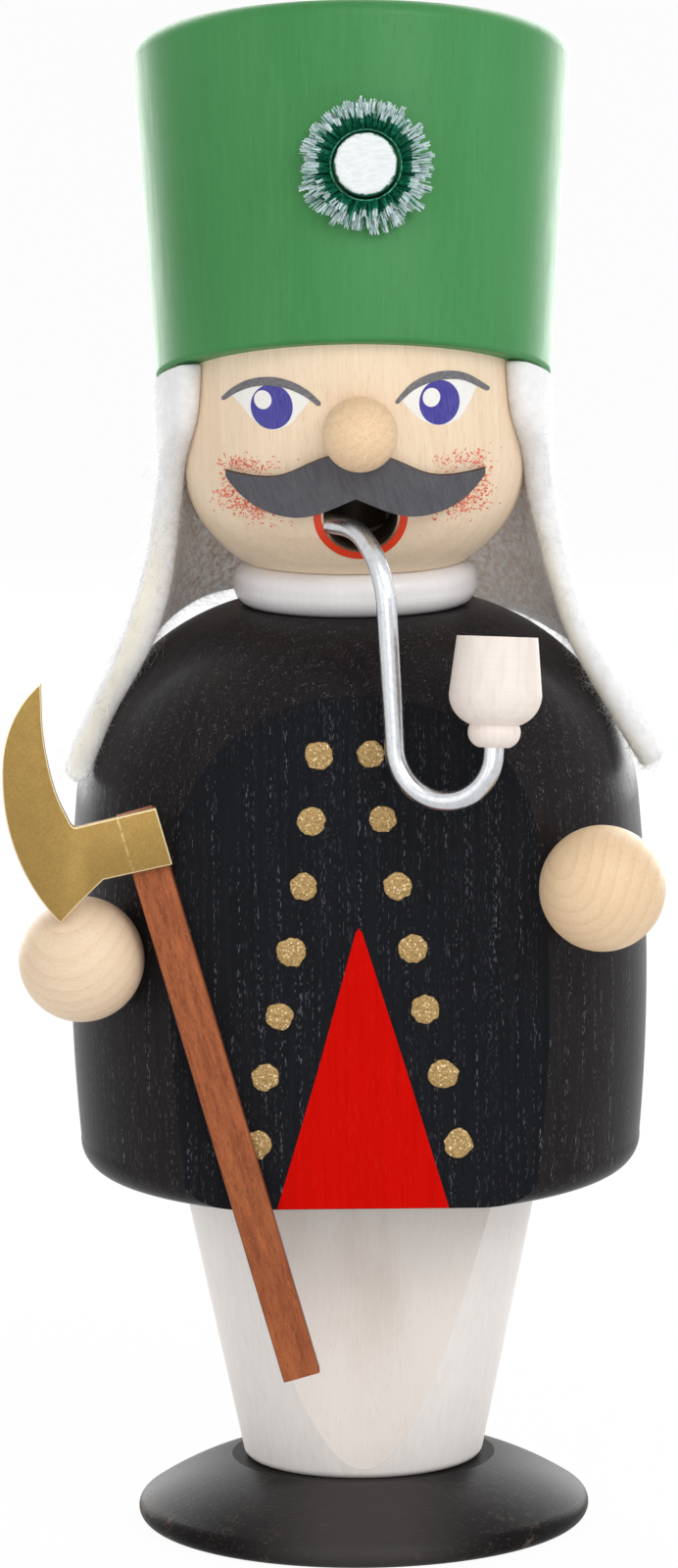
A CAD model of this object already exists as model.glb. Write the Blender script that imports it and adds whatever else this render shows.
import bmesh
import bpy
import math
import random
from mathutils import Euler, Matrix, Vector, noise
from mathutils.bvhtree import BVHTree


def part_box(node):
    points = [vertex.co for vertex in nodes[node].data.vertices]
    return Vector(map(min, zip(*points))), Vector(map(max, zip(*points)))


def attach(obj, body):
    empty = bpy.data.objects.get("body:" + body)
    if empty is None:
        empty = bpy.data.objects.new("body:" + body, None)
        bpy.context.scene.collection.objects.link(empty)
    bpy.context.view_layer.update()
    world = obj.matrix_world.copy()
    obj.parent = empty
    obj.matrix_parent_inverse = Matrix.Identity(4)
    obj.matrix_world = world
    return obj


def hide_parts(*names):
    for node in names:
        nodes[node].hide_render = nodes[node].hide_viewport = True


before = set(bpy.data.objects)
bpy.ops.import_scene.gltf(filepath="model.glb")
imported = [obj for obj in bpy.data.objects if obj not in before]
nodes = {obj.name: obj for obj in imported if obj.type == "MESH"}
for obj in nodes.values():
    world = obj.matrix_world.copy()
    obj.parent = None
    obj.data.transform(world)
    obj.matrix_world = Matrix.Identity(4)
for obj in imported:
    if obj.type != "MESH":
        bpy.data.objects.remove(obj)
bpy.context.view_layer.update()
mm = 0.001
print("frame loaded with", len(nodes), "nodes")

# Sizes that the CAD frame gives, in millimetres
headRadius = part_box("head")[1].x / mm
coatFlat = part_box("coat")[0].y / mm
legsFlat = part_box("legs")[0].y / mm

hatShape = {
    "seat": (0, 0, 150.24),
    "tilt": 17.0,
    "bottomRadius": 25.35,
    "topRadius": 28.45,
    "height": 43.65,
}
hatTurn = Matrix.Rotation(-math.radians(hatShape["tilt"]), 4, "X")
hatSeat = Vector(hatShape["seat"])


# Node helpers
def colour(red, green, blue):
    channels = []
    for value in (red, green, blue):
        share = value / 255
        linear = share / 12.92 if share <= 0.04045 else ((share + 0.055) / 1.055) ** 2.4
        channels.append(linear)
    return (*channels, 1)


def fill(node, tree, inputs):
    for key, value in inputs.items():
        if isinstance(value, bpy.types.NodeSocket):
            tree.links.new(value, node.inputs[key])
        else:
            node.inputs[key].default_value = value
    return node


def addNode(tree, kind, inputs=None, **settings):
    node = tree.nodes.new("ShaderNode" + kind)
    for key, value in settings.items():
        setattr(node, key, value)
    return fill(node, tree, inputs or {})


def addMath(tree, operation, first, second=0.0, clamp=False):
    return addNode(tree, "Math", {0: first, 1: second}, operation=operation, use_clamp=clamp).outputs[0]


def times(tree, first, second):
    return addMath(tree, "MULTIPLY", first, second)


def plus(tree, first, second):
    return addMath(tree, "ADD", first, second)


def minus(tree, first, second):
    return addMath(tree, "SUBTRACT", first, second)


# Mixes two colours: each is a socket, or red, green and blue from 0 to 255
def addMix(tree, factor, first, second):
    inputs = {0: factor, 6: first, 7: second}
    for key in (6, 7):
        if not isinstance(inputs[key], bpy.types.NodeSocket):
            inputs[key] = colour(*inputs[key])
    return addNode(tree, "Mix", inputs, data_type="RGBA").outputs[2]


def addRange(tree, value, low, high, newLow=0.0, newHigh=1.0, smooth=False):
    inputs = {"Value": value, "From Min": low, "From Max": high, "To Min": newLow, "To Max": newHigh}
    kind = "SMOOTHSTEP" if smooth else "LINEAR"
    return addNode(tree, "MapRange", inputs, interpolation_type=kind).outputs[0]


def addNoise(tree, vector, scale, detail=3.0, roughness=0.55):
    inputs = {"Vector": vector, "Scale": scale, "Detail": detail, "Roughness": roughness}
    return addNode(tree, "TexNoise", inputs).outputs[0]


def addStretch(tree, vector, scale):
    return addNode(tree, "Mapping", {"Vector": vector, "Scale": scale}).outputs[0]


def addParts(tree, vector):
    return addNode(tree, "SeparateXYZ", {0: vector}).outputs


# Distance from the Z axis
def addReach(tree, vector):
    parts = addParts(tree, vector)
    flat = addNode(tree, "CombineXYZ", {0: parts[0], 1: parts[1]}).outputs[0]
    return addNode(tree, "VectorMath", {0: flat}, operation="LENGTH").outputs["Value"]


def addGroup(tree, group, **inputs):
    node = tree.nodes.new("ShaderNodeGroup")
    node.node_tree = group
    return fill(node, tree, {key.replace("_", " "): value for key, value in inputs.items()}).outputs


def startGroup(name, inputs, outputs):
    group = bpy.data.node_groups.new(name, "ShaderNodeTree")
    for label, kind, value in inputs:
        socket = group.interface.new_socket(name=label, in_out="INPUT", socket_type="NodeSocket" + kind)
        if value is not None:
            socket.default_value = value
    for label, kind in outputs:
        group.interface.new_socket(name=label, in_out="OUTPUT", socket_type="NodeSocket" + kind)
    return group, group.nodes.new("NodeGroupInput").outputs, group.nodes.new("NodeGroupOutput")


# Wood: growth rings round the local Z axis, and fibres along it, in millimetres
def makeWoodGroup():
    inputs = [
        ("Vector", "Vector", None),
        ("Ring Width", "Float", 2.0),
        ("Warp", "Float", 1.0),
        ("Fibre Length", "Float", 14.0),
    ]
    outputs = [("Rings", "Float"), ("Fibres", "Float"), ("Fine", "Float")]
    group, given, result = startGroup("woodFigure", inputs, outputs)
    reach = addReach(group, given["Vector"])
    slow = addNoise(group, addStretch(group, given["Vector"], (1, 1, 0.25)), 0.05, 2.0)
    warp = times(group, minus(group, slow, 0.5), given["Warp"])
    phase = addMath(group, "DIVIDE", plus(group, reach, warp), given["Ring Width"])
    saw = addMath(group, "FRACT", phase)
    rise = addMath(group, "POWER", saw, 3.0)
    fall = addRange(group, saw, 0.94, 1.0, 1.0, 0.0, smooth=True)
    fibreScale = addMath(group, "DIVIDE", 1.0, given["Fibre Length"])
    stretch = addNode(group, "CombineXYZ", {0: 1.0, 1: 1.0, 2: fibreScale}).outputs[0]
    drawn = addNode(group, "VectorMath", {0: given["Vector"], 1: stretch}, operation="MULTIPLY").outputs[0]
    made = {
        "Rings": times(group, rise, fall),
        "Fibres": addNoise(group, drawn, 1.4, 4.0, 0.6),
        "Fine": addNoise(group, drawn, 5.5, 3.0, 0.6),
    }
    fill(result, group, made)
    return group


# Pores: short dashes along the local Z axis
def makePoreGroup():
    inputs = [
        ("Vector", "Vector", None),
        ("Width", "Float", 0.3),
        ("Length", "Float", 3.0),
        ("Amount", "Float", 0.5),
    ]
    group, given, result = startGroup("poreDashes", inputs, [("Mask", "Float")])
    across = addMath(group, "DIVIDE", 1.0, given["Width"])
    down = addMath(group, "DIVIDE", 1.0, given["Length"])
    stretch = addNode(group, "CombineXYZ", {0: across, 1: across, 2: down}).outputs[0]
    drawn = addNode(group, "VectorMath", {0: given["Vector"], 1: stretch}, operation="MULTIPLY").outputs[0]
    cells = addNode(group, "TexVoronoi", {"Vector": drawn, "Scale": 1.0}, feature="F1").outputs
    chance = addParts(group, cells["Color"])[0]
    chosen = addMath(group, "LESS_THAN", chance, given["Amount"])
    core = addRange(group, cells["Distance"], 0.42, 0.2, 0.0, 1.0, smooth=True)
    fill(result, group, {"Mask": times(group, chosen, core)})
    return group


# Wear: blotches where the finish has gone thin
def makeWearGroup():
    inputs = [("Vector", "Vector", None), ("Size", "Float", 4.0), ("Amount", "Float", 0.3)]
    group, given, result = startGroup("thinFinish", inputs, [("Mask", "Float")])
    scale = addMath(group, "DIVIDE", 1.0, given["Size"])
    broad = addNoise(group, given["Vector"], scale, 2.0, 0.5)
    grit = addNoise(group, given["Vector"], times(group, scale, 7.0), 4.0, 0.7)
    both = plus(group, times(group, broad, 0.6), times(group, grit, 0.4))
    edge = minus(group, 0.72, times(group, given["Amount"], 0.4))
    high = plus(group, edge, 0.1)
    fill(result, group, {"Mask": addRange(group, both, edge, high, smooth=True)})
    return group


woodFigure = makeWoodGroup()
poreDashes = makePoreGroup()
thinFinish = makeWearGroup()


def addFigure(tree, vector, ring, warp, fibre):
    return addGroup(tree, woodFigure, Vector=vector, Ring_Width=ring, Warp=warp, Fibre_Length=fibre)


def addPores(tree, vector, width, length, amount):
    return addGroup(tree, poreDashes, Vector=vector, Width=width, Length=length, Amount=amount)[0]


# Object coordinates in millimetres, from an origin and turned by degrees
def addLocal(tree, origin=(0, 0, 0), turn=(0, 0, 0)):
    inputs = {
        "Vector": addNode(tree, "TexCoord").outputs["Object"],
        "Location": [value * mm for value in origin],
        "Rotation": [math.radians(value) for value in turn],
        "Scale": (mm, mm, mm),
    }
    return addNode(tree, "Mapping", inputs, vector_type="TEXTURE").outputs[0]


def clearTree(owner):
    owner.use_nodes = True
    owner.node_tree.nodes.clear()
    return owner.node_tree


def startMaterial(name, origin=(0, 0, 0), turn=(0, 0, 0)):
    material = bpy.data.materials.new(name)
    tree = clearTree(material)
    return material, tree, addLocal(tree, origin, turn)


def endMaterial(material, base, roughness, height, bump, depth, **sockets):
    tree = material.node_tree
    bumped = addNode(tree, "Bump", {"Height": height, "Strength": bump, "Distance": depth * mm})
    inputs = {"Base Color": base, "Roughness": roughness, "Normal": bumped.outputs[0]}
    inputs.update({key.replace("_", " "): value for key, value in sockets.items()})
    shader = addNode(tree, "BsdfPrincipled", inputs)
    addNode(tree, "OutputMaterial", {"Surface": shader.outputs[0]})
    return material


# Bare light wood, for the head, nose and hands
def makePaleWood(name, look):
    material, tree, local = startMaterial(name, look["origin"], look["turn"])
    light, ring, fibre, pale, pore = look["colours"]
    ringShare, fibreShare, poreShare = look["shares"]
    figure = addFigure(tree, local, **look["figure"])
    pores = addPores(tree, local, width=0.22, length=look["poreLength"], amount=0.35)
    base = addMix(tree, times(tree, figure["Rings"], ringShare), light, ring)
    base = addMix(tree, addRange(tree, figure["Fibres"], 0.38, 0.68, 0.0, fibreShare), base, fibre)
    base = addMix(tree, addRange(tree, figure["Fine"], 0.4, 0.7, 0.0, 0.3), base, pale)
    base = addMix(tree, times(tree, pores, poreShare), base, pore)
    if "bore" in look:
        base = addMix(tree, boreMask(tree, look["bore"]), base, look["smoked"])
    rough = addRange(tree, figure["Fibres"], 0.3, 0.7, 0.42, 0.56)
    height = minus(tree, figure["Fine"], times(tree, pores, 0.6))
    return endMaterial(material, base, rough, height, bump=0.25, depth=0.03)


# The inside of the mouth, darkened by smoke behind a light rim
def boreMask(tree, bore):
    parts = addParts(tree, addLocal(tree))
    x, z = bore["centre"]
    across = addNode(tree, "CombineXYZ", {0: parts[0], 2: parts[2]}).outputs[0]
    reach = addNode(tree, "VectorMath", {0: across, 1: (x, 0, z)}, operation="DISTANCE").outputs["Value"]
    deep = addRange(tree, parts[1], bore["rim"], bore["rim"] + bore["fade"], 0.0, bore["share"])
    return times(tree, addMath(tree, "LESS_THAN", reach, bore["radius"]), deep)


# Colours are of the light wood, the rings, the fibres, the fine pale streaks and the pores
paleWoods = {
    "head": {
        "origin": (9, 34, 0),
        "turn": (2, -1, 0),
        "colours": ((240, 217, 188), (222, 188, 152), (229, 200, 168), (248, 232, 208), (203, 165, 128)),
        "figure": {"ring": 3.1, "warp": 7.0, "fibre": 22.0},
        "poreLength": 2.6,
        "shares": (0.4, 0.55, 0.3),  # of rings, fibres and pores
        "bore": {"centre": (0.7, 135.1), "radius": 5.05, "rim": -21.0, "fade": 1.6, "share": 0.92},
        "smoked": (74, 54, 40),
    },
    "nose": {
        "origin": (-4, -22, 150),
        "turn": (84, 8, 0),
        "colours": ((234, 203, 164), (220, 178, 132), (224, 186, 144), (243, 222, 192), (190, 142, 98)),
        "figure": {"ring": 1.3, "warp": 5.0, "fibre": 2.2},
        "poreLength": 0.5,
        "shares": (0.4, 0.75, 0.55),
    },
    "right_hand": {
        "origin": (-38, -20, 66),
        "turn": (10, 83, 0),
        "colours": ((234, 208, 178), (216, 181, 143), (230, 200, 166), (248, 230, 206), (206, 168, 132)),
        "figure": {"ring": 1.5, "warp": 5.0, "fibre": 14.0},
        "poreLength": 2.0,
        "shares": (0.55, 0.5, 0.3),
    },
    "left_hand": {
        "origin": (22, -44, 92),
        "turn": (-64, 28, 0),
        "colours": ((231, 201, 163), (208, 166, 122), (226, 190, 148), (247, 226, 196), (200, 158, 116)),
        "figure": {"ring": 1.9, "warp": 6.0, "fibre": 14.0},
        "poreLength": 2.0,
        "shares": (0.55, 0.6, 0.3),
    },
}


# Plain dowels and the inside of bored wood
def makePlainWood():
    material, tree, local = startMaterial("plainWood")
    figure = addFigure(tree, local, ring=1.8, warp=4.0, fibre=16.0)
    base = addMix(tree, figure["Fibres"], (226, 196, 158), (202, 166, 124))
    return endMaterial(material, base, 0.6, figure["Fine"], bump=0.3, depth=0.04)


flatReach = 0.03  # how far behind a flat still counts as the flat

# The coat: black stain on open-pored wood, bluer and duller on the flat
coatLook = {
    "round": (35, 32, 34),
    "brown": (50, 42, 41),
    "flat": (24, 25, 29),
    "speck": (132, 131, 134),
    "flatSpeck": (112, 113, 120),
    "origin": (6, 30, 0),
}


def makeCoat():
    material, tree, local = startMaterial("blackStain")
    tilted = addNode(tree, "Mapping", {"Vector": local, "Location": coatLook["origin"]}).outputs[0]
    parts = addParts(tree, local)
    onFlat = addMath(tree, "LESS_THAN", parts[1], coatFlat + flatReach)
    figure = addFigure(tree, tilted, ring=2.6, warp=9.0, fibre=26.0)
    coarse = addPores(tree, tilted, width=0.23, length=1.2, amount=0.65)
    smallPores = addPores(tree, tilted, width=0.22, length=0.6, amount=0.5)
    lines = addRange(tree, addNoise(tree, addStretch(tree, tilted, (1, 1, 0.02)), 2.4, 2.0), 0.45, 0.58)
    bands = addRange(tree, figure["Rings"], 0.02, 0.3, 0.35, 1.0)
    pores = times(tree, addMath(tree, "MAXIMUM", coarse, smallPores), bands)
    pores = times(tree, pores, lines)
    filled = addRange(tree, figure["Fibres"], 0.38, 0.66, 0.1, 0.9)
    shine = times(tree, pores, filled)
    shine = times(tree, shine, addRange(tree, onFlat, 0.0, 1.0, 0.8, 1.0))
    cloudy = addNoise(tree, addStretch(tree, local, (1, 1, 0.3)), 0.09, 3.0)
    stain = addRange(tree, cloudy, 0.5, 0.72, 0.0, 0.55)
    body = addMix(tree, stain, coatLook["round"], coatLook["brown"])
    streak = addRange(tree, figure["Fibres"], 0.35, 0.7, 0.0, 0.5)
    body = addMix(tree, streak, body, (21, 19, 20))
    body = addMix(tree, shine, body, coatLook["speck"])
    flat = addMix(tree, streak, coatLook["flat"], (11, 12, 15))
    flat = addMix(tree, shine, flat, coatLook["flatSpeck"])
    base = addMix(tree, onFlat, body, flat)
    rough = plus(tree, addRange(tree, onFlat, 0.0, 1.0, 0.3, 0.52), times(tree, pores, 0.2))
    height = minus(tree, times(tree, figure["Fibres"], 0.4), pores)
    specular = addRange(tree, onFlat, 0.0, 1.0, 0.04, 0.05)
    return endMaterial(material, base, rough, height, bump=0.5, depth=0.06, Specular_IOR_Level=specular)


# The base: black finish worn through to brown along the rim and the slope
def makeBase():
    material, tree, local = startMaterial("blackBase", (0, 60, 0), (0, 90, 0))
    flat = addLocal(tree)
    figure = addFigure(tree, local, ring=2.4, warp=8.0, fibre=18.0)
    pores = addPores(tree, local, width=0.3, length=2.6, amount=0.45)
    parts = addParts(tree, flat)
    slope = addRange(tree, parts[2], 1.0, 6.5, 1.0, 0.15)
    worn = addGroup(tree, thinFinish, Vector=flat, Size=6.0, Amount=0.42)[0]
    worn = times(tree, worn, slope)
    base = addMix(tree, times(tree, worn, 0.75), (24, 22, 22), (108, 92, 78))
    base = addMix(tree, times(tree, pores, 0.12), base, (140, 128, 112))
    rough = addRange(tree, worn, 0.0, 1.0, 0.4, 0.52)
    height = minus(tree, figure["Fibres"], times(tree, pores, 0.5))
    dusty = addRange(tree, addMath(tree, "ABSOLUTE", parts[0]), 3.0, 19.0, 1.0, 0.0, smooth=True)
    dusty = times(tree, dusty, addRange(tree, parts[1], -12.0, -17.0, 0.0, 0.85))
    base = addMix(tree, dusty, base, (72, 68, 68))
    return endMaterial(material, base, rough, height, bump=0.35, depth=0.05, Specular_IOR_Level=0.035)


# The legs: thin white wash, with the brown wood coming through on the flat
def makeLegs():
    material, tree, local = startMaterial("whiteWash")
    parts = addParts(tree, local)
    onFlat = addMath(tree, "LESS_THAN", parts[1], legsFlat + flatReach)
    figure = addFigure(tree, local, ring=3.0, warp=8.0, fibre=20.0)
    pores = addPores(tree, local, width=0.2, length=1.8, amount=0.3)
    thin = addRange(tree, figure["Fibres"], 0.4, 0.7, 0.0, 0.35)
    washed = addMix(tree, thin, (238, 233, 229), (224, 213, 206))
    stain = addNoise(tree, addStretch(tree, local, (1, 1, 0.45)), 0.11, 3.0, 0.5)
    stain = addRange(tree, stain, 0.42, 0.7)
    middle = addRange(tree, addMath(tree, "ABSOLUTE", parts[0]), 1.0, 13.0, 1.0, 0.0, smooth=True)
    upward = addRange(tree, parts[2], 12.0, 46.0, 0.25, 1.0)
    stain = times(tree, times(tree, stain, middle), upward)
    stained = addMix(tree, times(tree, stain, 0.5), (232, 223, 216), (186, 160, 141))
    stained = addMix(tree, times(tree, pores, 0.16), stained, (190, 168, 150))
    stained = addMix(tree, addRange(tree, figure["Fine"], 0.45, 0.75, 0.0, 0.35), stained, (238, 232, 228))
    base = addMix(tree, onFlat, washed, stained)
    height = minus(tree, figure["Fine"], pores)
    return endMaterial(material, base, 0.55, height, bump=0.25, depth=0.04)


def makeCollar():
    material, tree, local = startMaterial("whiteLacquer")
    figure = addFigure(tree, local, ring=2.2, warp=3.0, fibre=9.0)
    fibres = addRange(tree, figure["Fibres"], 0.4, 0.75, 0.0, 0.3)
    base = addMix(tree, fibres, (236, 233, 234), (222, 216, 214))
    gloss = {"Coat_Weight": 0.3, "Coat_Roughness": 0.2}
    return endMaterial(material, base, 0.36, figure["Fine"], bump=0.1, depth=0.03, **gloss)


# The hat: green lacquer that lets the grain show in the gloss
def makeHat():
    material, tree, local = startMaterial("greenLacquer", hatShape["seat"], (-hatShape["tilt"], 0, 0))
    figure = addFigure(tree, local, ring=2.6, warp=7.0, fibre=30.0)
    pores = addPores(tree, local, width=0.24, length=3.6, amount=0.4)
    cloudy = addRange(tree, addNoise(tree, addStretch(tree, local, (1, 1, 0.3)), 0.06, 2.0), 0.35, 0.7)
    base = addMix(tree, cloudy, (56, 128, 66), (66, 138, 78))
    base = addMix(tree, addRange(tree, figure["Fibres"], 0.45, 0.75, 0.0, 0.25), base, (84, 152, 92))
    base = addMix(tree, times(tree, pores, 0.18), base, (38, 96, 48))
    rough = addRange(tree, figure["Fibres"], 0.3, 0.7, 0.34, 0.48)
    height = minus(tree, figure["Fine"], pores)
    return endMaterial(material, base, rough, height, bump=0.22, depth=0.05, Specular_IOR_Level=0.25)


# The pipe's bowl: turned and thinly whitewashed
def makeBowl():
    low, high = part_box("pipe_bowl")
    middle = (low + high) / 2 / mm
    material, tree, local = startMaterial("bowlWash", middle, (-8.5, 2.5, 0))
    figure = addFigure(tree, local, ring=1.4, warp=3.0, fibre=12.0)
    parts = addParts(tree, local)
    lathe = addNode(tree, "CombineXYZ", {2: parts[2]}).outputs[0]
    turned = addNoise(tree, lathe, 3.2, 3.0, 0.7)
    fibres = addRange(tree, figure["Fibres"], 0.4, 0.72, 0.0, 0.5)
    base = addMix(tree, fibres, (240, 229, 221), (222, 204, 192))
    base = addMix(tree, addRange(tree, turned, 0.5, 0.8, 0.0, 0.4), base, (210, 190, 178))
    height = plus(tree, times(tree, turned, 0.8), figure["Fine"])
    return endMaterial(material, base, 0.55, height, bump=0.3, depth=0.05)


def makeWire():
    material, tree, local = startMaterial("bareWire")
    rubbed = addNoise(tree, local, 1.3, 4.0, 0.6)
    drawn = addNoise(tree, addStretch(tree, local, (6, 6, 0.6)), 1.5, 3.0)
    rubbed = addRange(tree, rubbed, 0.45, 0.75, 0.0, 0.5)
    base = addMix(tree, rubbed, (206, 208, 211), (172, 175, 180))
    rough = addRange(tree, drawn, 0.3, 0.7, 0.2, 0.34)
    return endMaterial(material, base, rough, drawn, bump=0.06, depth=0.02, Metallic=1.0)


# The moustache: dyed veneer with scorched edges
def makeSlate():
    material, tree, local = startMaterial("slateVeneer", (0, 40, 0))
    flat = addLocal(tree)
    front = headRadius + 1.35  # the veneer's outer face
    scorched = addRange(tree, addReach(tree, flat), front - 0.16, front - 0.02, 1.0, 0.0, smooth=True)
    slanted = addNode(tree, "Mapping", {"Vector": flat, "Rotation": (0, 0.35, 0)}).outputs[0]
    figure = addFigure(tree, slanted, ring=1.5, warp=2.0, fibre=7.0)
    pores = addPores(tree, slanted, width=0.18, length=0.9, amount=0.5)
    base = addMix(tree, addRange(tree, figure["Fibres"], 0.35, 0.65), (80, 79, 84), (92, 91, 95))
    base = addMix(tree, addRange(tree, figure["Fine"], 0.5, 0.7, 0.0, 0.3), base, (104, 103, 107))
    base = addMix(tree, times(tree, pores, 0.35), base, (56, 56, 60))
    base = addMix(tree, scorched, base, (58, 36, 27))
    height = minus(tree, figure["Fine"], pores)
    return endMaterial(material, base, 0.62, height, bump=0.12, depth=0.04, Specular_IOR_Level=0.15)


# The axe: brown flecked wood and a dull gold sheet with bright cut edges
axeShape = {"lean": 15.6, "top": (-28.24, -28.65, 99.0), "bladeEdge": 0.16, "handleEdge": 0.18}


def makeBrownWood():
    material, tree, local = startMaterial("brownWood", axeShape["top"], (0, -axeShape["lean"], 0))
    figure = addFigure(tree, local, ring=2.2, warp=5.0, fibre=9.0)
    flecks = addPores(tree, local, width=0.26, length=1.5, amount=0.55)
    dots = addPores(tree, local, width=0.24, length=0.5, amount=0.3)
    parts = addParts(tree, local)
    base = addMix(tree, addRange(tree, figure["Fibres"], 0.32, 0.68), (172, 98, 58), (132, 70, 42))
    base = addMix(tree, times(tree, flecks, 0.5), base, (96, 50, 34))
    base = addMix(tree, times(tree, dots, 0.35), base, (196, 128, 84))
    side = addRange(tree, addMath(tree, "ABSOLUTE", parts[0]), 2.2, 2.45, 0.0, 0.6)
    base = addMix(tree, side, base, (96, 54, 38))
    height = minus(tree, figure["Fine"], flecks)
    return endMaterial(material, base, 0.5, height, bump=0.35, depth=0.05, Specular_IOR_Level=0.15)


def makeGold(name, bright):
    material, tree, local = startMaterial(name, axeShape["top"], (0, -axeShape["lean"], 0))
    grit = addNode(tree, "TexVoronoi", {"Vector": local, "Scale": 5.0}).outputs
    tone = addParts(tree, grit["Color"])[0]
    soft = addNoise(tree, local, 0.5, 3.0)
    parts = addParts(tree, local)
    wobble = times(tree, addNoise(tree, local, 0.9, 2.0), 0.5)
    crease = addMath(tree, "ABSOLUTE", plus(tree, minus(tree, parts[0], wobble), 2.35))
    crease = addRange(tree, crease, 0.05, 0.22, 1.0, 0.0, smooth=True)
    crease = times(tree, crease, addRange(tree, addNoise(tree, local, 1.6, 3.0), 0.4, 0.65))
    base = addMix(tree, addRange(tree, tone, 0.0, 1.0, 0.0, 0.5), (152, 121, 60), (178, 147, 82))
    base = addMix(tree, addRange(tree, soft, 0.4, 0.7, 0.0, 0.4), base, (142, 112, 56))
    base = addMix(tree, times(tree, crease, 0.6), base, (222, 198, 140))
    if bright:
        base = addMix(tree, 0.85, base, (240, 222, 178))
    height = plus(tree, times(tree, tone, 0.5), crease)
    return endMaterial(material, base, 0.42, height, bump=0.25, depth=0.04, Metallic=0.55)


def makeBrass():
    material, tree, local = startMaterial("trayBrass")
    smoked = addRange(tree, addNoise(tree, local, 0.3, 4.0), 0.4, 0.7)
    base = addMix(tree, smoked, (214, 182, 112), (132, 100, 62))
    rough = addRange(tree, smoked, 0.0, 1.0, 0.28, 0.5)
    return endMaterial(material, base, rough, smoked, bump=0.1, depth=0.02, Metallic=1.0)


def makeSteel():
    material, tree, local = startMaterial("nailSteel")
    scuffed = addNoise(tree, local, 2.0, 4.0)
    base = addMix(tree, scuffed, (170, 170, 172), (120, 118, 116))
    return endMaterial(material, base, 0.36, scuffed, bump=0.15, depth=0.02, Metallic=1.0)


# Rosette: its own frame on the front of the hat
rosette = {
    "height": 22.0,
    "turn": 4.0,
    "faceTurn": -3.0,
    "seatDepth": 0.5,
    "discRadius": 4.03,
    "discStand": 3.4,
    "coreRadius": 4.5,
    "reach": 9.0,
}
hatSlope = math.atan((hatShape["topRadius"] - hatShape["bottomRadius"]) / hatShape["height"])


def makeRosetteFrame():
    side = math.radians(rosette["turn"])
    faceSide = math.radians(rosette["faceTurn"])
    out = Vector((math.sin(side), -math.cos(side), 0))
    faceOut = Vector((math.sin(faceSide), -math.cos(faceSide), 0))
    radius = hatShape["bottomRadius"] + rosette["height"] * math.tan(hatSlope)
    spot = hatSeat + hatTurn @ (out * radius + Vector((0, 0, rosette["height"])))
    axis = hatTurn @ (faceOut * math.cos(hatSlope) - Vector((0, 0, math.sin(hatSlope))))
    across = Vector((1, 0, 0))
    up = axis.cross(across).normalized()
    across = up.cross(axis).normalized()
    place = Matrix((across, up, axis)).transposed().to_4x4()
    place.translation = spot - axis * rosette["seatDepth"]
    return place


rosetteFrame = makeRosetteFrame()


def makeDisc():
    turn = [math.degrees(angle) for angle in rosetteFrame.to_euler()]
    material, tree, local = startMaterial("discPaint", rosetteFrame.translation, turn)
    parts = addParts(tree, local)
    daubs = addNoise(tree, local, 1.1, 4.0, 0.65)
    rim = plus(tree, addReach(tree, local), times(tree, daubs, 0.9))
    worn = addRange(tree, rim, rosette["discRadius"] + 0.2, rosette["discRadius"] + 0.38)
    front = rosette["discStand"] + rosette["seatDepth"]
    below = addRange(tree, parts[2], front - 0.75, front - 0.5, 1.0, 0.0)
    green = addMath(tree, "MAXIMUM", worn, below, clamp=True)
    strokes = addNoise(tree, addStretch(tree, local, (0.5, 1.8, 1)), 1.6, 4.0, 0.7)
    paint = addMix(tree, addRange(tree, strokes, 0.4, 0.7), (236, 240, 240), (214, 222, 222))
    base = addMix(tree, green, paint, (30, 104, 84))
    return endMaterial(material, base, 0.6, strokes, bump=0.7, depth=0.1)


def makeTinsel(name, light, dark, share):
    material, tree, local = startMaterial(name)
    flicker = addNoise(tree, local, 2.2, 3.0, 0.7)
    base = addMix(tree, addRange(tree, flicker, 0.4, 0.62), dark, light)
    return endMaterial(material, base, 0.32, flicker, bump=0.3, depth=0.04, Metallic=share)


# Plush: white pile on a cream backing that shows along the cut edges
def makePlush(name, light, shade, cream=None):
    material, tree, local = startMaterial(name)
    tufts = addNoise(tree, local, 0.55, 4.0, 0.65)
    nap = addNoise(tree, addStretch(tree, local, (1, 1, 0.6)), 3.2, 4.0, 0.75)
    base = addMix(tree, addRange(tree, tufts, 0.35, 0.7), light, shade)
    if cream:
        inside = addNode(tree, "Attribute", attribute_name="inside").outputs["Fac"]
        spots = addRange(tree, addNoise(tree, local, 1.1, 4.0, 0.75), 0.42, 0.62, 0.15, 0.9)
        base = addMix(tree, times(tree, inside, spots), base, (222, 206, 194))
        band = addNode(tree, "Attribute", attribute_name="cream").outputs["Fac"]
        band = addRange(tree, plus(tree, band, times(tree, nap, 0.25)), 0.15, 1.0)
        base = addMix(tree, band, base, cream)
    height = plus(tree, tufts, times(tree, nap, 0.7))
    soft = {"Sheen_Weight": 0.2, "Sheen_Roughness": 0.5, "Specular_IOR_Level": 0.1}
    soft.update({"Subsurface_Weight": 0.9, "Subsurface_Radius": (1, 1, 1), "Subsurface_Scale": 0.006})
    return endMaterial(material, base, 0.95, height, bump=0.35, depth=0.3, **soft)


# Paint on the face and on the coat's flat
def makePaint(name, look):
    material, tree, local = startMaterial(name)
    stretch = look.get("stretch", (1, 1, 3))
    strokes = addNoise(tree, addStretch(tree, local, stretch), 1.6, 4.0, 0.65)
    streaks = addRange(tree, strokes, 0.42, 0.68, 0.0, look["share"])
    base = addMix(tree, streaks, look["main"], look["streak"])
    gloss = {"Coat_Weight": look["coat"], "Coat_Roughness": 0.25}
    return endMaterial(material, base, look["roughness"], strokes, bump=0.2, depth=0.04, **gloss)


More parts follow.
